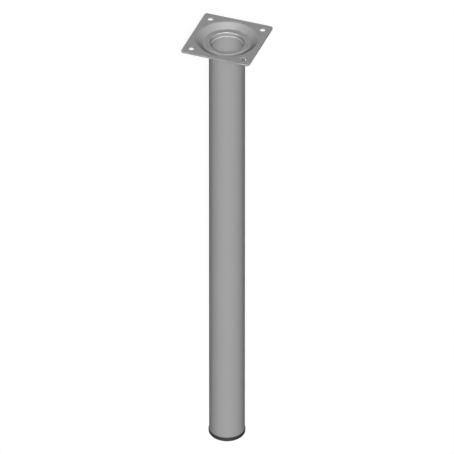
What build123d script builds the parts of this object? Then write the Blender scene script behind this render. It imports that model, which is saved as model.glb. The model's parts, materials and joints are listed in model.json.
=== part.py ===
from build123d import *
import os

# Furniture leg: a round steel tube, rolled over in the dish of a square screw-on plate, on a plastic glide.
# It stands on the XY plane with its axis on Z, and the plate's sides lie along X and Y. Sizes are millimetres.

# Whole leg
leg_height = 400.0  # floor to the plate's top face

# Tube
tube_diameter = 30.0
tube_wall = 1.5

# Tube end, formed through the dish floor and rolled over on it
lip_wall = 0.9  # wall of the neck and the flange, thinned by the forming
lip_bend_radius = 0.9  # rounded edges that face the bore
flange_width = 2.7  # reach of the flange past the tube
flange_bevel = 0.2  # broken upper edge of the flange
neck_clearance = 0.1  # around the neck, in the plate's hole
fold_reach = 1.0  # depth of the folded bead's slit past the tube
fold_gap = 0.2  # slit left inside the fold

# Dish, pressed into the plate
dish_depth = 4.0
dish_wall_run = 5.6  # width of the sloping wall, seen from above
dish_floor_margin = 2.3  # floor left around the flange
dish_bend_radius = 0.5  # inside radius of both bends

# Plate
sheet_thickness = 1.5
plate_rim = 4.4  # flat strip between the dish and the middle of a side
plate_corner_radius = 2.5
plate_edge_bevel = 0.2
screw_hole_diameter = 5.0
screw_edge_distance = 7.0  # hole centre to both sides of its corner

# Glide: the visible foot
glide_height = 4.5
glide_bulge = 0.5  # reach of the foot past the tube
glide_base_round = 2.5
glide_bevel = 0.3  # broken upper edge, beside the tube
glide_floor = 3.0  # thickness of the foot below the hollow plug

# Glide: the plug inside the tube
plug_length = 16.0
plug_wall = 1.8
plug_lead_in = 0.8  # chamfer at the plug's upper end
plug_clearance = 0.1  # between the ribs and the tube's bore
rib_depth = 1.2
rib_thickness = 1.6  # at the root
rib_tip = 0.6
rib_pitch = 4.4

# Radii of the tube and its formed end
tube_outer = tube_diameter / 2
tube_bore = tube_outer - tube_wall
neck_bore = tube_outer - lip_wall
flange_outer = tube_outer + flange_width
slit_outer = tube_outer + fold_reach

# Heights of the plate's dish and of the tube's formed end
dish_floor_top = leg_height - dish_depth
dish_floor_under = dish_floor_top - sheet_thickness
flange_top = dish_floor_top + lip_wall
slit_top = dish_floor_under - lip_wall
slit_floor = slit_top - fold_gap
bead_under = slit_floor - tube_wall
bead_round = (dish_floor_under - bead_under) / 2

# Radii of the dish and sizes of the plate
dish_floor_radius = flange_outer + dish_floor_margin
dish_mouth_radius = dish_floor_radius + dish_wall_run
plate_side = 2 * (dish_mouth_radius + plate_rim)
screw_spacing = plate_side - 2 * screw_edge_distance
rim_middle = dish_mouth_radius + plate_rim / 2

# Radii and heights of the glide
foot_outer = tube_outer + glide_bulge
rib_reach = tube_bore - plug_clearance
plug_core = rib_reach - rib_depth
plug_bore = plug_core - plug_wall
plug_top = glide_height + plug_length
rib_count = int((plug_length - plug_lead_in - rib_thickness) / rib_pitch)
rib_heights = [glide_height + rib_pitch * (i + 0.5) for i in range(rib_count)]

os.makedirs("parts", exist_ok=True)

# Screw-on plate: a square sheet with the dish pressed into it at an even thickness
with BuildPart() as mounting_plate:
    with BuildSketch(Plane.XY.offset(leg_height)):
        RectangleRounded(plate_side, plate_side, plate_corner_radius)
    extrude(amount=-sheet_thickness)
    top_face = mounting_plate.faces().sort_by(Axis.Z)[-1]
    under_face = mounting_plate.faces().sort_by(Axis.Z)[0]
    chamfer(top_face.edges() + under_face.edges(), plate_edge_bevel)
    with BuildSketch(Plane.XY.offset(leg_height)):
        Circle(rim_middle)
    extrude(amount=-sheet_thickness, mode=Mode.SUBTRACT)
    with BuildSketch(Plane.XZ):
        with BuildLine():
            FilletPolyline(
                (rim_middle, leg_height),
                (dish_mouth_radius, leg_height),
                (dish_floor_radius, dish_floor_top),
                (tube_outer + neck_clearance, dish_floor_top),
                radius=[dish_bend_radius + sheet_thickness, dish_bend_radius],
            )
            offset(amount=sheet_thickness, side=Side.LEFT)
        make_face()
    revolve(axis=Axis.Z)
    with Locations(Plane.XY.offset(leg_height)):
        with GridLocations(screw_spacing, screw_spacing, 2, 2):
            Hole(screw_hole_diameter / 2)
mounting_plate.part.label = "mounting_plate"
export_step(mounting_plate.part, "parts/mounting_plate.step")

# Tube: one wall from the foot up through the folded bead, the neck and the flange
with BuildPart() as leg_tube:
    with BuildSketch(Plane.XZ):
        with BuildLine():
            outside = Polyline(
                (tube_bore, glide_height),
                (tube_outer, glide_height),
                (tube_outer, bead_under),
                (slit_outer, bead_under),
            )
            bead = JernArc(outside @ 1, outside % 1, bead_round, 180)
            FilletPolyline(
                bead @ 1,
                (tube_outer, dish_floor_under),
                (tube_outer, dish_floor_top),
                (flange_outer, dish_floor_top),
                (flange_outer, flange_top - flange_bevel),
                (flange_outer - flange_bevel, flange_top),
                (neck_bore, flange_top),
                (neck_bore, slit_top),
                (slit_outer, slit_top),
                (slit_outer, slit_floor),
                (tube_bore, slit_floor),
                outside @ 0,
                radius=[0, 0, 0, 0, 0, lip_bend_radius, 0, 0, 0, lip_bend_radius],
            )
        make_face()
    revolve(axis=Axis.Z)
leg_tube.part.label = "leg_tube"
export_step(leg_tube.part, "parts/leg_tube.step")

# Glide: a foot with a rounded base and a hollow plug whose ribs grip the tube's bore
with BuildPart() as foot_glide:
    with BuildSketch(Plane.XZ):
        with BuildLine():
            base = Line((0, 0), (foot_outer - glide_base_round, 0))
            edge = JernArc(base @ 1, base % 1, glide_base_round, 90)
            Polyline(
                edge @ 1,
                (foot_outer, glide_height - glide_bevel),
                (foot_outer - glide_bevel, glide_height),
                (plug_core, glide_height),
                (plug_core, plug_top - plug_lead_in),
                (plug_core - plug_lead_in, plug_top),
                (plug_bore, plug_top),
                (plug_bore, glide_floor),
                (0, glide_floor),
                base @ 0,
            )
        make_face()
        for rib_height in rib_heights:
            with BuildLine():
                Polyline(
                    (plug_bore, rib_height),
                    (rib_reach, rib_height),
                    (rib_reach, rib_height + rib_tip),
                    (plug_core, rib_height + rib_thickness),
                    (plug_bore, rib_height + rib_thickness),
                    close=True,
                )
            make_face()
    revolve(axis=Axis.Z)
foot_glide.part.label = "foot_glide"
export_step(foot_glide.part, "parts/foot_glide.step")
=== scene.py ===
import json
import math

import bmesh
import bpy
from bpy.props import FloatProperty, FloatVectorProperty, IntProperty, PointerProperty
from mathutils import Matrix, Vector


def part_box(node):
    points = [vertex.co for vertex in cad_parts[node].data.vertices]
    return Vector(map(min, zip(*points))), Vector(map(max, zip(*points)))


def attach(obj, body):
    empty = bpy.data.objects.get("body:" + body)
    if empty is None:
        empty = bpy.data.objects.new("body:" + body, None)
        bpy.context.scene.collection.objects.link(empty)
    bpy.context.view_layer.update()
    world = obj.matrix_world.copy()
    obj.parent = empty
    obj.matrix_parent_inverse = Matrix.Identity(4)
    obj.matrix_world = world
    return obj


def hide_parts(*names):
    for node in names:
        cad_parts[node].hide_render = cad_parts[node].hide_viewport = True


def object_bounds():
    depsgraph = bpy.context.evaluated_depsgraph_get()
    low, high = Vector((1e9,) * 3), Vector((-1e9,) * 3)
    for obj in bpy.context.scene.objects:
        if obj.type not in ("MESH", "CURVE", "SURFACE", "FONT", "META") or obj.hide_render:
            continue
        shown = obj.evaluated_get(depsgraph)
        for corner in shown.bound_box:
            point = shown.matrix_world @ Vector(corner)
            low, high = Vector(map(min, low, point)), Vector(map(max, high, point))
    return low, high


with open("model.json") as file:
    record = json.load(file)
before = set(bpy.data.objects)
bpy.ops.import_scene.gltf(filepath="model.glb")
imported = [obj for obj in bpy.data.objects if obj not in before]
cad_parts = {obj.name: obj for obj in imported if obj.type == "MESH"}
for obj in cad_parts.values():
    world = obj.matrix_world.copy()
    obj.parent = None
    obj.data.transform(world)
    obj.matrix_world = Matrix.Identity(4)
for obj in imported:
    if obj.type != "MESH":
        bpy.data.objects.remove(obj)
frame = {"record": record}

bl_info = {
    "name": "Round Tube Furniture Leg",
    "version": (1, 0, 0),
    "blender": (4, 5, 0),
    "location": "3D View > Sidebar > Leg",
    "description": "Builds a tube leg with a pressed screw-on plate and a plastic glide, and its studio",
    "category": "Add Mesh",
}

MM = 0.001

# Sizes and colours from the frame
CAD_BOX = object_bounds()
TUBE_LOW, TUBE_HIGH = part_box("leg_tube")
PLATE_LOW, PLATE_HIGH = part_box("mounting_plate")
GLIDE_LOW, GLIDE_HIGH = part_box("foot_glide")
SCREWS = next(m for m in frame["record"]["mounts"] if m["name"] == "plate_screws")["dims"]
SLOT_COLOURS = {m["slot"]: m["base_color"] for m in frame["record"]["materials"]}

# Fineness of the meshes
RING_STEP = 45.0 * MM  # about the height between the rings that split the tube's wall
FULL_ROUND = 0.999  # share of half the bead's height that each of its two bends takes up
CORNER_FINENESS = 2.0  # flats in a corner of the plate, for each flat in a bend
HOLE_COARSENESS = 3  # flats round the dish, for each flat round a screw hole
SHARP_ANGLE = math.radians(40)  # edges that turn further than this stay sharp
MERGE_DISTANCE = 1e-7  # metres, as the next one
SHORTEST_EDGE = 1e-8

# Powder coat: repeats of its patterns to the metre, and their depths
COAT_NAME = "satin_grey_powder_coat"
DRIFT_SCALE = 14.0
PEEL_SCALE = 430.0
GRAIN_SCALE = 2400.0
FLAKE_SCALE = 4200.0
COAT_TONE_DEPTH = 0.09
COAT_BUMP_STRENGTH = 0.15
COAT_BUMP_HEIGHT = 0.04 * MM
COAT_EDGE_TINT = (0.05, 0.05, 0.05, 1.0)  # dulls the flake's mirror where it is seen at a slant

# Plastic: the same for its own patterns
PLASTIC_NAME = "matt_black_plastic"
CLOUD_SCALE = 160.0
SPARK_SCALE = 3600.0
PLASTIC_TONE_DEPTH = 0.2
PLASTIC_BUMP_STRENGTH = 0.4
PLASTIC_BUMP_HEIGHT = 0.03 * MM

# Stage
FLOOR_RADIUS = 8.0  # metres
FLOOR_SEGMENTS = 96
FLOOR_DROP = 0.02 * MM  # below the glide's base, so that the two faces don't share a plane
FLOOR_WHITE = 1.01  # a little over white, so that noise can't grey it
SENSOR_WIDTH = 36.0  # millimetres, as the lens
CLIP_DISTANCES = 3.0  # reach of the camera, in distances from it to the leg


# Properties


def length(name, description, default):
    """A size of the leg, shown in the scene's length unit."""
    return FloatProperty(
        name=name,
        description=description,
        default=default,
        min=0.0,
        precision=5,
        subtype="DISTANCE",
        unit="LENGTH",
    )


def angle(name, description, degrees):
    """An angle, shown in degrees."""
    return FloatProperty(
        name=name,
        description=description,
        default=math.radians(degrees),
        subtype="ANGLE",
        unit="ROTATION",
    )


def colour(name, description, default):
    """A colour in linear light."""
    return FloatVectorProperty(
        name=name, description=description, default=default, size=3, min=0.0, max=1.0, subtype="COLOR"
    )


def share(name, description, default):
    """A share between none and all."""
    return FloatProperty(
        name=name, description=description, default=default, min=0.0, max=1.0, subtype="FACTOR"
    )


def strength(name, description, default):
    """The strength of a lamp far away."""
    return FloatProperty(name=name, description=description, default=default, min=0.0)


def count(name, description, default, fewest, most):
    """A number of like things."""
    return IntProperty(name=name, description=description, default=default, min=fewest, max=most)


class LegTubeSizes(bpy.types.PropertyGroup):
    """Sizes of the steel tube and its rolled end."""

    diameter: length("Diameter", "Outside of the tube", 30.0 * MM)
    wall: length("Wall", "Thickness of the tube's wall", 1.5 * MM)
    foot_end: length("Foot End", "Height of the tube's lower end above the floor", TUBE_LOW.z)
    end_round: length("End Round", "Rounding of the cut lower end", 0.2 * MM)
    lip_wall: length("Lip Wall", "Wall of the neck and the flange, thinned by the forming", 0.9 * MM)
    lip_bend: length("Lip Bend", "Rounded edges that face the bore", 0.9 * MM)
    flange_diameter: length(
        "Flange Diameter", "Outside of the end rolled over in the dish", TUBE_HIGH.x - TUBE_LOW.x
    )
    flange_round: length("Flange Round", "Rounding of the flange's upper rim", 0.05 * MM)
    fold_reach: length("Fold Reach", "Depth of the slit in the folded bead, past the tube", 1.0 * MM)
    fold_gap: length("Fold Gap", "Height of that slit", 0.2 * MM)
    slit_round: length("Slit Round", "Rounding where the neck's bore meets the slit", 0.1 * MM)
    root_round: length("Root Round", "Coat gathered in the corner below the bead", 0.3 * MM)


class LegPlateSizes(bpy.types.PropertyGroup):
    """Sizes of the pressed screw-on plate."""

    top: length("Top", "Height of the plate's flat top face", PLATE_HIGH.z)
    side: length("Side", "Length of a side", PLATE_HIGH.x - PLATE_LOW.x)
    corner_radius: length("Corner Radius", "Rounding of the corners, seen from above", 2.5 * MM)
    thickness: length("Sheet Thickness", "Thickness of the sheet, also in the dish", 1.5 * MM)
    edge_round: length("Edge Round", "Rounding of the sheared edge", 0.1 * MM)
    dish_depth: length("Dish Depth", "Top face to the dish floor", 4.0 * MM)
    dish_mouth: length("Dish Mouth", "Diameter of the dish at the top face", 51.2 * MM)
    dish_floor: length("Dish Floor", "Diameter of the dish floor", 40.0 * MM)
    dish_bend: length("Dish Bend", "Inside radius of the two bends", 0.5 * MM)
    dish_hole: length("Dish Hole", "Diameter of the hole for the tube's neck", 30.2 * MM)
    hole_spacing: length(
        "Hole Spacing", "Between the screw holes along a side", SCREWS["spacing_x_mm"] * MM
    )
    hole_diameter: length("Hole Diameter", "Width of a screw hole", 2 * SCREWS["hole_r_mm"] * MM)
    hole_round: length("Hole Round", "Rounding of the rims of all holes", 0.1 * MM)


class LegGlideSizes(bpy.types.PropertyGroup):
    """Sizes of the plastic glide."""

    diameter: length("Diameter", "Outside of the foot", GLIDE_HIGH.x - GLIDE_LOW.x)
    base_round: length("Base Round", "Rounding of the edge on the floor", 2.5 * MM)
    rim_round: length("Rim Round", "Rounding of the upper edge, beside the tube", 0.3 * MM)
    floor: length("Floor", "Thickness of the foot below the hollow plug", 3.0 * MM)
    plug_top: length("Plug Top", "Height of the plug's upper end", GLIDE_HIGH.z)
    plug_wall: length("Plug Wall", "Wall of the hollow plug", 1.8 * MM)
    plug_lead: length("Plug Lead-in", "Chamfer at the plug's upper end", 0.8 * MM)
    rib_clearance: length("Rib Clearance", "Between the ribs and the tube's bore", 0.1 * MM)
    rib_depth: length("Rib Depth", "Reach of a rib past the plug", 1.2 * MM)
    rib_root: length("Rib Root", "Height of a rib at the plug", 1.6 * MM)
    rib_tip: length("Rib Tip", "Height of a rib at its edge", 0.6 * MM)
    rib_pitch: length("Rib Pitch", "From rib to rib", 4.4 * MM)
    rib_count: count("Ribs", "Number of ribs on the plug", 3, fewest=0, most=8)
    edge_round: length("Edge Round", "Rounding of the edges of the plug and its ribs", 0.1 * MM)
    shoulder_round: length("Shoulder Round", "Rounding between the plug and the foot", 0.2 * MM)
    hollow_round: length("Hollow Round", "Rounding at the bottom of the hollow plug", 0.4 * MM)


class LegFinishes(bpy.types.PropertyGroup):
    """Colours of the leg's finishes and fineness of its meshes."""

    coat_colour: colour("Coat", "Grey of the powder coat", SLOT_COLOURS["coated_steel"])
    coat_roughness: share("Coat Roughness", "Spread of the coat's shine", 0.25)
    coat_metal: share("Coat Metal", "Share of metal flake in the coat", 0.04)
    plastic_colour: colour("Plastic", "Black of the glide", SLOT_COLOURS["black_plastic"])
    plastic_roughness: share("Plastic Roughness", "Spread of the plastic's shine", 0.5)
    segments: count("Segments", "Flats round a turned piece", 192, fewest=24, most=512)
    bend_steps: count("Bend Steps", "Flats in each rounded corner", 8, fewest=2, most=32)


class LegStudio(bpy.types.PropertyGroup):
    """Camera, lamps and floor."""

    view_azimuth: angle("View Azimuth", "Turn of the camera about the leg", 20.0)
    view_elevation: angle("View Elevation", "Height of the camera above the horizon", 35.055)
    frame_width: length("Frame Width", "Width of the picture at the leg", 378.25 * MM)
    aim_height: length("Aim Height", "Height on the leg's axis at the picture's middle", 209.92 * MM)
    lens: FloatProperty(
        name="Lens", description="Focal length in millimetres", default=1500.0, min=50.0
    )
    key_azimuth: angle("Key Azimuth", "Turn of the key light about the leg", 20.3)
    key_elevation: angle("Key Elevation", "Height of the key light above the horizon", 34.5)
    key_spread: angle("Key Spread", "Width of the key light seen from the leg", 2.0)
    key_strength: strength("Key Strength", "Strength of the key light", 3.06)
    back_turn: angle("Back Turn", "Turn of each back light away from the far side", 20.0)
    back_elevation: angle("Back Elevation", "Height of the back lights above the horizon", 0.4)
    back_spread: angle("Back Spread", "Width of a back light seen from the leg", 0.8)
    back_strength: strength("Back Strength", "Strength of each back light", 0.9)
    shine_turn: angle("Shine Turn", "Turn of the outer shine lamps away from the camera", 45.0)
    shine_elevation: angle("Shine Elevation", "Height of the shine lamps above the horizon", 34.0)
    shine_spread: angle("Shine Spread", "Width of a shine lamp seen from the leg", 40.0)
    shine_strength: strength("Shine Strength", "Strength of each shine lamp", 10.0)
    top_elevation: angle("Top Elevation", "Height of the upper shine lamp above the horizon", 72.0)
    top_strength: strength("Top Strength", "Strength of the upper shine lamp", 1.8)
    ambient: share("Ambient", "Light from all round on the leg", 0.006)
    floor_tone: share("Floor Tone", "Share of light that the floor gives back to the leg", 0.03)
    shadow_depth: share("Shadow Depth", "Share of white that the leg's shadow takes away", 0.06)


# Nodes


class Wire:
    """An output socket. Sums and products of wires and numbers add Math nodes to its tree."""

    def __init__(self, socket):
        self.socket = socket

    def math(self, operation, first, second):
        nodes = Nodes(self.socket.id_data)
        return nodes.add("ShaderNodeMath", {"operation": operation}, {0: first, 1: second})[0]

    def __add__(self, other):
        return self.math("ADD", self, other)

    def __radd__(self, other):
        return self.math("ADD", other, self)

    def __sub__(self, other):
        return self.math("SUBTRACT", self, other)

    def __rsub__(self, other):
        return self.math("SUBTRACT", other, self)

    def __mul__(self, other):
        return self.math("MULTIPLY", self, other)

    def __rmul__(self, other):
        return self.math("MULTIPLY", other, self)


class Made:
    """A node that was added. Its outputs are taken by name, identifier or number."""

    def __init__(self, node):
        self.node = node

    def __getitem__(self, key):
        return Wire(socket_named(self.node.outputs, key))


def socket_named(sockets, key):
    """A socket by number, identifier or name."""
    if isinstance(key, int):
        return sockets[key]
    found = [s for s in sockets if s.identifier == key] or [s for s in sockets if s.name == key]
    if not found:
        raise KeyError(f"no socket {key!r} among {[s.name for s in sockets]}")
    return found[0]


class Nodes:
    """Adds nodes to a shader, world or geometry tree."""

    def __init__(self, tree):
        self.tree = tree

    def add(self, kind, settings=None, sockets=None):
        """A node of one kind: its settings first, then the values or links of its sockets."""
        node = self.tree.nodes.new(kind)
        for name, value in (settings or {}).items():
            setattr(node, name, value)
        for key, value in (sockets or {}).items():
            socket = socket_named(node.inputs, key)
            for item in value if isinstance(value, list) else [value]:
                if isinstance(item, Wire):
                    self.tree.links.new(item.socket, socket)
                else:
                    socket.default_value = item
        return Made(node)


# Finishes


def new_finish(name):
    """A material with an empty tree, and the tree's node maker."""
    finish = bpy.data.materials.new(name)
    finish.use_nodes = True
    finish.node_tree.nodes.clear()
    return finish, Nodes(finish.node_tree)


def finish_named(name, make, settings):
    """A finish that is made once and shared by the pieces that wear it."""
    return bpy.data.materials.get(name) or make(settings)


def noise(nodes, place, scale, detail):
    """Noise about zero, with so many repeats to the metre."""
    sockets = {"Vector": place, "Scale": scale, "Detail": detail}
    return nodes.add("ShaderNodeTexNoise", sockets=sockets)[0] - 0.5


def mottled(nodes, middle, depth, pattern):
    """A colour that a pattern about zero makes paler or darker by up to a share."""
    middle = Vector(middle)
    return nodes.add(
        "ShaderNodeMix",
        {"data_type": "RGBA", "clamp_factor": True},
        {
            "Factor_Float": 0.5 + pattern,
            "A_Color": (*(middle * (1.0 - depth)), 1.0),
            "B_Color": (*(middle * (1.0 + depth)), 1.0),
        },
    )["Result_Color"]


def bumped(nodes, bump_strength, height, pattern):
    """A surface that stands up by a pattern, to a height in metres."""
    sockets = {"Strength": bump_strength, "Distance": height, "Height": pattern}
    return nodes.add("ShaderNodeBump", sockets=sockets)["Normal"]


def lay_on(nodes, sockets):
    """Ends a finish with one surface shader."""
    shader = nodes.add("ShaderNodeBsdfPrincipled", sockets=sockets)["BSDF"]
    nodes.add("ShaderNodeOutputMaterial", sockets={"Surface": shader})


def powder_coat(settings):
    """Satin grey powder coat: metal flake, a slow drift of tone and orange peel, at real size."""
    finish, nodes = new_finish(COAT_NAME)
    place = nodes.add("ShaderNodeTexCoord")["Object"]
    drift = noise(nodes, place, DRIFT_SCALE, detail=2.0)
    peel = noise(nodes, place, PEEL_SCALE, detail=1.0)
    grain = noise(nodes, place, GRAIN_SCALE, detail=2.0)
    flake = nodes.add("ShaderNodeTexVoronoi", sockets={"Vector": place, "Scale": FLAKE_SCALE})["Color"]
    glint = nodes.add("ShaderNodeSeparateColor", sockets={"Color": flake})[0] - 0.5
    tone = 0.35 * drift + 0.5 * glint + 0.3 * grain
    lay_on(
        nodes,
        {
            "Base Color": mottled(nodes, settings.coat_colour, COAT_TONE_DEPTH, tone),
            "Roughness": settings.coat_roughness + 0.08 * grain + 0.05 * drift - 0.05 * glint,
            "Metallic": settings.coat_metal,
            "Specular IOR Level": 0.0,
            "Specular Tint": COAT_EDGE_TINT,
            "Normal": bumped(nodes, COAT_BUMP_STRENGTH, COAT_BUMP_HEIGHT, 0.75 * peel + 0.25 * grain),
        },
    )
    return finish


def moulded_plastic(settings):
    """Black plastic with the fine matt surface of a spark-eroded mould and faint rub marks."""
    finish, nodes = new_finish(PLASTIC_NAME)
    place = nodes.add("ShaderNodeTexCoord")["Object"]
    cloud = noise(nodes, place, CLOUD_SCALE, detail=3.0)
    spark = noise(nodes, place, SPARK_SCALE, detail=2.0)
    tone = 0.6 * cloud + 0.5 * spark
    lay_on(
        nodes,
        {
            "Base Color": mottled(nodes, settings.plastic_colour, PLASTIC_TONE_DEPTH, tone),
            "Roughness": settings.plastic_roughness + 0.12 * cloud + 0.1 * spark,
            "Specular IOR Level": 0.0,
            "Normal": bumped(nodes, PLASTIC_BUMP_STRENGTH, PLASTIC_BUMP_HEIGHT, spark),
        },
    )
    return finish


# Geometry Nodes


def geometry_tree(name, inputs):
    """An empty Geometry Nodes tree with named inputs. Gives the tree and its input wires."""
    tree = bpy.data.node_groups.new(name, "GeometryNodeTree")
    tree.interface.new_socket("Geometry", in_out="OUTPUT", socket_type="NodeSocketGeometry")
    for label, kind in inputs.items():
        tree.interface.new_socket(label, in_out="INPUT", socket_type=kind)
    group = Nodes(tree).add("NodeGroupInput")
    return tree, {label: group[label] for label in inputs}


def end_tree(tree, shape, finish):
    """Closes a Geometry Nodes tree: one merged mesh that wears its finish."""
    nodes = Nodes(tree)
    merging = {"Geometry": shape, "Distance": MERGE_DISTANCE}
    merged = nodes.add("GeometryNodeMergeByDistance", sockets=merging)["Geometry"]
    whole = nodes.add("GeometryNodeRealizeInstances", sockets={"Geometry": merged})["Geometry"]
    wearing = {"Geometry": whole, "Material": finish}
    worn = nodes.add("GeometryNodeSetMaterial", sockets=wearing)["Geometry"]
    nodes.add("NodeGroupOutput", sockets={"Geometry": worn})


def vector(nodes, **axes):
    """A vector from its axes. Those left out are zero."""
    return nodes.add("ShaderNodeCombineXYZ", sockets=axes)["Vector"]


def circle(nodes, segments, radius):
    """A ring about the origin."""
    sockets = {"Resolution": segments, "Radius": radius}
    return nodes.add("GeometryNodeCurvePrimitiveCircle", sockets=sockets)["Curve"]


def rounded(nodes, line, steps, radius):
    """A line with its corners rounded."""
    sockets = {"Curve": line, "Count": steps, "Radius": radius, "Limit Radius": True}
    return nodes.add("GeometryNodeFilletCurve", {"mode": "POLY"}, sockets)["Curve"]


def swept(nodes, path, profile):
    """The surface that a profile leaves along a path."""
    sockets = {"Curve": path, "Profile Curve": profile}
    return nodes.add("GeometryNodeCurveToMesh", sockets=sockets)["Mesh"]


def raised(nodes, shape, height):
    """A shape moved up."""
    sockets = {"Geometry": shape, "Translation": vector(nodes, Z=height)}
    return nodes.add("GeometryNodeTransform", sockets=sockets)["Geometry"]


def joined(nodes, shapes):
    """Several shapes as one."""
    return nodes.add("GeometryNodeJoinGeometry", sockets={"Geometry": shapes})["Geometry"]


def section_mesh(name, corners, closed):
    """A half section in the XZ plane as edges. Each corner is (radius, height, bend)."""
    mesh = bpy.data.meshes.new(name)
    last = len(corners) - 1
    edges = [(i, i + 1) for i in range(last)]
    if closed:
        edges.append((last, 0))
    mesh.from_pydata([(radius, 0.0, height) for radius, height, bend in corners], edges, [])
    bends = mesh.attributes.new("bend", "FLOAT", "POINT")
    bends.data.foreach_set("value", [bend for radius, height, bend in corners])
    return mesh


def bent_section(nodes, section, steps, path_radius):
    """The section's corners rounded by their bends, as a flat profile for a path of that radius."""
    line = nodes.add("GeometryNodeMeshToCurve", sockets={"Mesh": section})["Curve"]
    bend = nodes.add(
        "GeometryNodeInputNamedAttribute", {"data_type": "FLOAT"}, {"Name": "bend"}
    )["Attribute"]
    return nodes.add(
        "GeometryNodeTransform",
        sockets={
            "Geometry": rounded(nodes, line, steps, bend),
            "Translation": vector(nodes, X=-1.0 * path_radius),
            "Rotation": (math.pi / 2, 0.0, 0.0),
        },
    )["Geometry"]


def turned_tree():
    """Geometry Nodes that turn a half section round the leg's axis."""
    tree, wires = geometry_tree(
        "Turned Section",
        {
            "Section": "NodeSocketGeometry",
            "Segments": "NodeSocketInt",
            "Bend Steps": "NodeSocketInt",
            "Path Radius": "NodeSocketFloat",
            "Finish": "NodeSocketMaterial",
        },
    )
    nodes = Nodes(tree)
    radius = wires["Path Radius"]
    profile = bent_section(nodes, wires["Section"], wires["Bend Steps"], radius)
    end_tree(tree, swept(nodes, circle(nodes, wires["Segments"], radius), profile), wires["Finish"])
    return tree


def sheared_edge(nodes, thickness, steps, reach):
    """A profile down over a sheet's edge, rounded above and below and standing out by reach."""
    places = [(0.0, 0.0), (reach, 0.0), (reach, thickness), (0.0, thickness)]
    points = {f"Point {i}": vector(nodes, X=x, Y=y) for i, (x, y) in enumerate(places, 1)}
    ring = nodes.add("GeometryNodeCurvePrimitiveQuadrilateral", {"mode": "POINTS"}, points)["Curve"]
    opening = {"Geometry": ring, "Cyclic": False}
    line = nodes.add("GeometryNodeSetSplineCyclic", sockets=opening)["Geometry"]
    radius = nodes.add("ShaderNodeMath", {"operation": "ABSOLUTE"}, {0: reach})[0]
    return rounded(nodes, line, steps, radius)


def hole_rings(nodes, spacing, segments, radius):
    """Four rings on the corners of a square."""
    grid = nodes.add(
        "GeometryNodeMeshGrid",
        sockets={"Size X": spacing, "Size Y": spacing, "Vertices X": 2, "Vertices Y": 2},
    )["Mesh"]
    placing = {"Points": grid, "Instance": circle(nodes, segments, radius)}
    rings = nodes.add("GeometryNodeInstanceOnPoints", sockets=placing)["Instances"]
    return nodes.add("GeometryNodeRealizeInstances", sockets={"Geometry": rings})["Geometry"]


def plate_tree():
    """Geometry Nodes for the plate: a square sheet, screw holes on a grid and a turned dish."""
    tree, wires = geometry_tree(
        "Pressed Plate",
        {
            "Dish Section": "NodeSocketGeometry",
            "Top": "NodeSocketFloat",
            "Side": "NodeSocketFloat",
            "Corner Radius": "NodeSocketFloat",
            "Thickness": "NodeSocketFloat",
            "Edge Round": "NodeSocketFloat",
            "Dish Edge Radius": "NodeSocketFloat",
            "Hole Spacing": "NodeSocketFloat",
            "Hole Diameter": "NodeSocketFloat",
            "Hole Round": "NodeSocketFloat",
            "Segments": "NodeSocketInt",
            "Hole Segments": "NodeSocketInt",
            "Bend Steps": "NodeSocketInt",
            "Finish": "NodeSocketMaterial",
        },
    )
    nodes = Nodes(tree)
    steps, thickness = wires["Bend Steps"], wires["Thickness"]
    edge_round, hole_round = wires["Edge Round"], wires["Hole Round"]
    mouth_radius = wires["Dish Edge Radius"]

    flat_side = wires["Side"] - 2.0 * edge_round
    square = nodes.add(
        "GeometryNodeCurvePrimitiveQuadrilateral",
        {"mode": "RECTANGLE"},
        {"Width": flat_side, "Height": flat_side},
    )["Curve"]
    outline = rounded(nodes, square, steps * CORNER_FINENESS, wires["Corner Radius"] - edge_round)
    hole_radius = wires["Hole Diameter"] * 0.5 + hole_round
    holes = hole_rings(nodes, wires["Hole Spacing"], wires["Hole Segments"], hole_radius)
    mouth = circle(nodes, wires["Segments"], mouth_radius)

    lines = joined(nodes, [outline, holes, mouth])
    flat = nodes.add("GeometryNodeFillCurve", {"mode": "TRIANGLES"}, {"Curve": lines})["Mesh"]
    under = raised(nodes, flat, -1.0 * thickness)
    outer_edge = swept(nodes, outline, sheared_edge(nodes, thickness, steps, edge_round))
    hole_walls = swept(nodes, holes, sheared_edge(nodes, thickness, steps, -1.0 * hole_round))
    dish = swept(nodes, mouth, bent_section(nodes, wires["Dish Section"], steps, mouth_radius))
    sheet = joined(nodes, [flat, under, outer_edge, hole_walls, dish])
    end_tree(tree, raised(nodes, sheet, wires["Top"]), wires["Finish"])
    return tree


# Meshes


def grown(name, seed, tree, values):
    """A piece grown by a Geometry Nodes tree from a seed mesh, as a plain closed mesh."""
    piece = bpy.data.objects.new(name, seed)
    bpy.context.scene.collection.objects.link(piece)
    modifier = piece.modifiers.new(tree.name, "NODES")
    modifier.node_group = tree
    inputs = [item for item in tree.interface.items_tree if item.in_out == "INPUT"]
    identifiers = {item.name: item.identifier for item in inputs}
    for label, value in values.items():
        modifier[identifiers[label]] = value
    take_result(piece)
    close_mesh(piece)
    normals = piece.modifiers.new("Face Weighted Normals", "WEIGHTED_NORMAL")
    normals.keep_sharp = True
    take_result(piece)
    return piece


def take_result(piece):
    """Makes what the piece's modifiers give its own plain mesh, and removes them."""
    graph = bpy.context.evaluated_depsgraph_get()
    mesh = bpy.data.meshes.new_from_object(
        piece.evaluated_get(graph), preserve_all_data_layers=True, depsgraph=graph
    )
    mesh.name = piece.name
    piece.modifiers.clear()
    piece.data = mesh


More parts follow.
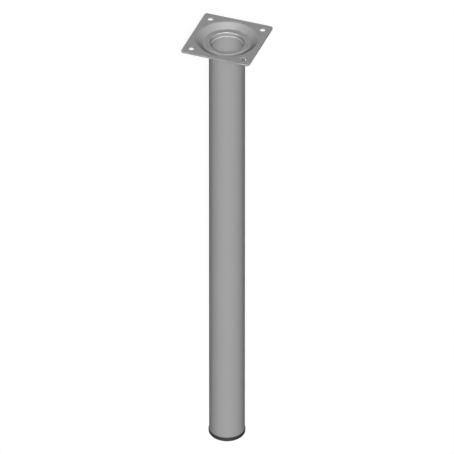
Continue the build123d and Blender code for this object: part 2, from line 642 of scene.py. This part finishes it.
def close_mesh(piece):
    """Merges doubles, turns the faces outwards and smooths them between sharp edges."""
    shape = bmesh.new()
    shape.from_mesh(piece.data)
    bmesh.ops.remove_doubles(shape, verts=shape.verts, dist=MERGE_DISTANCE)
    bmesh.ops.dissolve_degenerate(shape, edges=shape.edges, dist=SHORTEST_EDGE)
    open_edges = sum(not edge.is_manifold for edge in shape.edges)
    if open_edges:
        raise RuntimeError(f"{piece.name} has {open_edges} open edges")
    bmesh.ops.recalc_face_normals(shape, faces=shape.faces)
    if shape.calc_volume(signed=True) < 0:
        bmesh.ops.reverse_faces(shape, faces=shape.faces)
    for face in shape.faces:
        face.smooth = True
    for edge in shape.edges:
        edge.smooth = edge.calc_face_angle(0.0) < SHARP_ANGLE
    shape.to_mesh(piece.data)
    shape.free()


def seat(piece, node):
    """Sets a finished piece on the leg's one body, in place of its CAD node."""
    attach(piece, "root")
    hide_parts(node)


def wall_rings(radius, low, high):
    """Section points that split a long wall into rings, from low to high."""
    parts = max(1, round((high - low) / RING_STEP))
    return [(radius, low + (high - low) * i / parts, 0.0) for i in range(1, parts)]


# Operators


class LEG_OT_make_tube(bpy.types.Operator):
    """Makes the steel tube, from its cut foot end to the flange rolled over in the plate's dish"""

    bl_idname = "leg.make_tube"
    bl_label = "Make Tube"
    bl_options = {"REGISTER", "UNDO"}

    def execute(self, context):
        tube, plate = context.scene.leg_tube, context.scene.leg_plate
        look = context.scene.leg_finishes
        outer = tube.diameter / 2
        bore = outer - tube.wall
        neck_bore = outer - tube.lip_wall
        flange = tube.flange_diameter / 2
        slit = outer + tube.fold_reach
        floor_top = plate.top - plate.dish_depth
        floor_under = floor_top - plate.thickness
        flange_top = floor_top + tube.lip_wall
        slit_top = floor_under - tube.lip_wall
        slit_floor = slit_top - tube.fold_gap
        bead_under = slit_floor - tube.wall
        bead = (floor_under - bead_under) / 2
        corners = [
            (bore, tube.foot_end, tube.end_round),
            *wall_rings(bore, tube.foot_end, slit_floor),
            (bore, slit_floor, tube.lip_bend),
            (slit, slit_floor, 0.0),
            (slit, slit_top, 0.0),
            (neck_bore, slit_top, tube.slit_round),
            (neck_bore, flange_top, tube.lip_bend),
            (flange, flange_top, tube.flange_round),
            (flange, floor_top, 0.0),
            (outer, floor_top, 0.0),
            (outer, floor_under, 0.0),
            (slit + bead, floor_under, bead * FULL_ROUND),
            (slit + bead, bead_under, bead * FULL_ROUND),
            (outer, bead_under, tube.root_round),
            *reversed(wall_rings(outer, tube.foot_end, bead_under)),
            (outer, tube.foot_end, tube.end_round),
        ]
        piece = grown(
            "coated_tube",
            section_mesh("tube_section", corners, closed=True),
            turned_tree(),
            {
                "Segments": look.segments,
                "Bend Steps": look.bend_steps,
                "Path Radius": outer,
                "Finish": finish_named(COAT_NAME, powder_coat, look),
            },
        )
        seat(piece, "leg_tube")
        return {"FINISHED"}


class LEG_OT_make_plate(bpy.types.Operator):
    """Makes the screw-on plate with its pressed dish and four screw holes"""

    bl_idname = "leg.make_plate"
    bl_label = "Make Plate"
    bl_options = {"REGISTER", "UNDO"}

    def execute(self, context):
        plate, look = context.scene.leg_plate, context.scene.leg_finishes
        mouth, floor, hole = plate.dish_mouth / 2, plate.dish_floor / 2, plate.dish_hole / 2
        edge = (mouth + plate.side / 2) / 2
        slope = math.atan2(plate.dish_depth, mouth - floor)
        shift = plate.thickness * math.tan(slope / 2)
        inside, outside = plate.dish_bend, plate.dish_bend + plate.thickness
        corners = [
            (edge, 0.0, 0.0),
            (mouth, 0.0, outside),
            (floor, -plate.dish_depth, inside),
            (hole, -plate.dish_depth, plate.hole_round),
            (hole, -plate.dish_depth - plate.thickness, plate.hole_round),
            (floor + shift, -plate.dish_depth - plate.thickness, outside),
            (mouth + shift, -plate.thickness, inside),
            (edge, -plate.thickness, 0.0),
        ]
        piece = grown(
            "coated_plate",
            section_mesh("dish_section", corners, closed=False),
            plate_tree(),
            {
                "Top": plate.top,
                "Side": plate.side,
                "Corner Radius": plate.corner_radius,
                "Thickness": plate.thickness,
                "Edge Round": plate.edge_round,
                "Dish Edge Radius": edge,
                "Hole Spacing": plate.hole_spacing,
                "Hole Diameter": plate.hole_diameter,
                "Hole Round": plate.hole_round,
                "Segments": look.segments,
                "Hole Segments": look.segments // HOLE_COARSENESS,
                "Bend Steps": look.bend_steps,
                "Finish": finish_named(COAT_NAME, powder_coat, look),
            },
        )
        seat(piece, "mounting_plate")
        return {"FINISHED"}


class LEG_OT_make_glide(bpy.types.Operator):
    """Makes the plastic glide: the rounded foot and the ribbed plug inside the tube"""

    bl_idname = "leg.make_glide"
    bl_label = "Make Glide"
    bl_options = {"REGISTER", "UNDO"}

    def execute(self, context):
        glide, tube = context.scene.leg_glide, context.scene.leg_tube
        look = context.scene.leg_finishes
        foot = glide.diameter / 2
        shoulder = tube.foot_end
        reach = tube.diameter / 2 - tube.wall - glide.rib_clearance
        core = reach - glide.rib_depth
        hollow = core - glide.plug_wall
        soft = glide.edge_round
        ribs = []
        for i in reversed(range(glide.rib_count)):
            low = shoulder + glide.rib_pitch * (i + 0.5)
            ribs += [
                (core, low + glide.rib_root, soft),
                (reach, low + glide.rib_tip, soft),
                (reach, low, soft),
                (core, low, soft),
            ]
        corners = [
            (0.0, glide.floor, 0.0),
            (hollow, glide.floor, glide.hollow_round),
            (hollow, glide.plug_top, soft),
            (core - glide.plug_lead, glide.plug_top, soft),
            (core, glide.plug_top - glide.plug_lead, soft),
            *ribs,
            (core, shoulder, glide.shoulder_round),
            (foot, shoulder, glide.rim_round),
            (foot, 0.0, glide.base_round),
            (0.0, 0.0, 0.0),
        ]
        piece = grown(
            "plastic_glide",
            section_mesh("glide_section", corners, closed=False),
            turned_tree(),
            {
                "Segments": look.segments,
                "Bend Steps": look.bend_steps,
                "Path Radius": foot,
                "Finish": finish_named(PLASTIC_NAME, moulded_plastic, look),
            },
        )
        seat(piece, "foot_glide")
        return {"FINISHED"}


class LEG_OT_make_stage(bpy.types.Operator):
    """Makes the floor, the lamps, the surroundings and the camera"""

    bl_idname = "leg.make_stage"
    bl_label = "Make Stage"
    bl_options = {"REGISTER", "UNDO"}

    def execute(self, context):
        studio = context.scene.leg_studio
        context.scene.view_settings.view_transform = "Standard"
        make_floor(studio)
        make_surroundings(context.scene, studio)
        make_lamps(studio)
        make_camera(context.scene, studio)
        return {"FINISHED"}


def direction(azimuth, elevation):
    """From the leg towards a place round it. Azimuth 0 is in front and turns towards +X."""
    flat = math.cos(elevation)
    return Vector((math.sin(azimuth) * flat, -math.cos(azimuth) * flat, math.sin(elevation)))


def seen_directly(nodes):
    """One for rays from the camera and for mirrored or refracted ones, and none for other light."""
    path = nodes.add("ShaderNodeLightPath")
    return path["Is Camera Ray"] + path["Is Glossy Ray"] + path["Is Transmission Ray"]


def make_floor(studio):
    """A wide white floor that keeps the leg's shadow."""
    mesh = bpy.data.meshes.new("floor")
    shape = bmesh.new()
    bmesh.ops.create_circle(shape, cap_ends=True, radius=FLOOR_RADIUS, segments=FLOOR_SEGMENTS)
    bmesh.ops.translate(shape, verts=shape.verts, vec=(0.0, 0.0, CAD_BOX[0].z - FLOOR_DROP))
    shape.to_mesh(mesh)
    shape.free()
    mesh.materials.append(white_paper(studio))
    floor = bpy.data.objects.new("floor", mesh)
    bpy.context.scene.collection.objects.link(floor)


def white_paper(studio):
    """The floor's finish. It glows nearly white to the eye, and the key light adds the rest."""
    finish, nodes = new_finish("white_floor")
    seen = seen_directly(nodes)
    lit = math.sin(studio.key_elevation) * studio.key_strength / math.pi
    tone = studio.floor_tone + (studio.shadow_depth / lit - studio.floor_tone) * seen
    channels = {"Red": tone, "Green": tone, "Blue": tone}
    grey = nodes.add("ShaderNodeCombineColor", sockets=channels)["Color"]
    paper = nodes.add("ShaderNodeBsdfDiffuse", sockets={"Color": grey})["BSDF"]
    glowing = {"Strength": (FLOOR_WHITE - studio.shadow_depth) * seen}
    glow = nodes.add("ShaderNodeEmission", sockets=glowing)["Emission"]
    shader = nodes.add("ShaderNodeAddShader", sockets={0: paper, 1: glow})["Shader"]
    nodes.add("ShaderNodeOutputMaterial", sockets={"Surface": shader})
    return finish


def make_surroundings(scene, studio):
    """White all round to the eye, with only a little light of its own on the leg."""
    world = bpy.data.worlds.new("white_studio")
    world.use_nodes = True
    world.node_tree.nodes.clear()
    nodes = Nodes(world.node_tree)
    shining = {
        "Color": (1.0, 1.0, 1.0, 1.0),
        "Strength": studio.ambient + (1.0 - studio.ambient) * seen_directly(nodes),
    }
    shader = nodes.add("ShaderNodeBackground", sockets=shining)["Background"]
    nodes.add("ShaderNodeOutputWorld", sockets={"Surface": shader})
    scene.world = world


def make_lamps(studio):
    """A key light beside the camera, two low lights behind the leg and four lamps for its shine."""
    make_lamp(
        "key_light", studio.key_azimuth, studio.key_elevation, studio.key_spread, studio.key_strength
    )
    for side, turn in (("left", -studio.back_turn), ("right", studio.back_turn)):
        make_lamp(
            f"back_light_{side}",
            studio.view_azimuth + math.pi + turn,
            studio.back_elevation,
            studio.back_spread,
            studio.back_strength,
        )
    for side, turn in (("left", -studio.shine_turn), ("middle", 0.0), ("right", studio.shine_turn)):
        make_shine(f"shine_{side}", studio, turn, studio.shine_elevation, studio.shine_strength)
    make_shine("shine_top", studio, 0.0, studio.top_elevation, studio.top_strength)


def make_lamp(name, azimuth, elevation, spread, lamp_strength):
    """A lamp far away, as wide as its spread."""
    lamp = bpy.data.lights.new(name, "SUN")
    lamp.energy = lamp_strength
    lamp.angle = spread
    holder = bpy.data.objects.new(name, lamp)
    towards = direction(azimuth, elevation)
    holder.location = towards
    holder.rotation_euler = towards.to_track_quat("Z", "Y").to_euler()
    bpy.context.scene.collection.objects.link(holder)
    return holder


def make_shine(name, studio, turn, elevation, lamp_strength):
    """A wide lamp beside the camera that only shows in glossy surfaces, as a reflector does."""
    azimuth = studio.view_azimuth + turn
    holder = make_lamp(name, azimuth, elevation, studio.shine_spread, lamp_strength)
    holder.visible_diffuse = False


def make_camera(scene, studio):
    """A long lens far off, which shows the leg nearly in parallel projection."""
    lens = bpy.data.cameras.new("camera")
    lens.lens = studio.lens
    lens.sensor_width = SENSOR_WIDTH
    distance = studio.frame_width * studio.lens / lens.sensor_width
    lens.clip_end = distance * CLIP_DISTANCES
    camera = bpy.data.objects.new("camera", lens)
    towards = direction(studio.view_azimuth, studio.view_elevation)
    camera.location = Vector((0.0, 0.0, studio.aim_height)) + towards * distance
    camera.rotation_euler = towards.to_track_quat("Z", "Y").to_euler()
    scene.collection.objects.link(camera)
    scene.camera = camera


# Panel and registration


class LEG_PT_sidebar(bpy.types.Panel):
    """The leg's sizes, finishes and steps"""

    bl_idname = "LEG_PT_sidebar"
    bl_label = "Furniture Leg"
    bl_space_type = "VIEW_3D"
    bl_region_type = "UI"
    bl_category = "Leg"

    def draw(self, context):
        for label, group, operator in STEPS:
            box = self.layout.box()
            box.label(text=label)
            settings = getattr(context.scene, group)
            for name in settings.bl_rna.properties.keys():
                if name not in ("rna_type", "name"):
                    box.prop(settings, name)
            if operator:
                box.operator(operator)


STEPS = [
    ("Finishes", "leg_finishes", None),
    ("Plate", "leg_plate", "leg.make_plate"),
    ("Tube", "leg_tube", "leg.make_tube"),
    ("Glide", "leg_glide", "leg.make_glide"),
    ("Studio", "leg_studio", "leg.make_stage"),
]
GROUPS = {
    "leg_tube": LegTubeSizes,
    "leg_plate": LegPlateSizes,
    "leg_glide": LegGlideSizes,
    "leg_finishes": LegFinishes,
    "leg_studio": LegStudio,
}
CLASSES = [
    *GROUPS.values(),
    LEG_OT_make_tube,
    LEG_OT_make_plate,
    LEG_OT_make_glide,
    LEG_OT_make_stage,
    LEG_PT_sidebar,
]


def register():
    for cls in CLASSES:
        bpy.utils.register_class(cls)
    for name, group in GROUPS.items():
        setattr(bpy.types.Scene, name, PointerProperty(type=group))


def unregister():
    for name in GROUPS:
        delattr(bpy.types.Scene, name)
    for cls in reversed(CLASSES):
        bpy.utils.unregister_class(cls)


def main():
    register()
    bpy.ops.leg.make_stage()
    bpy.ops.leg.make_plate()
    bpy.ops.leg.make_tube()
    bpy.ops.leg.make_glide()


if __name__ == "__main__":
    main()
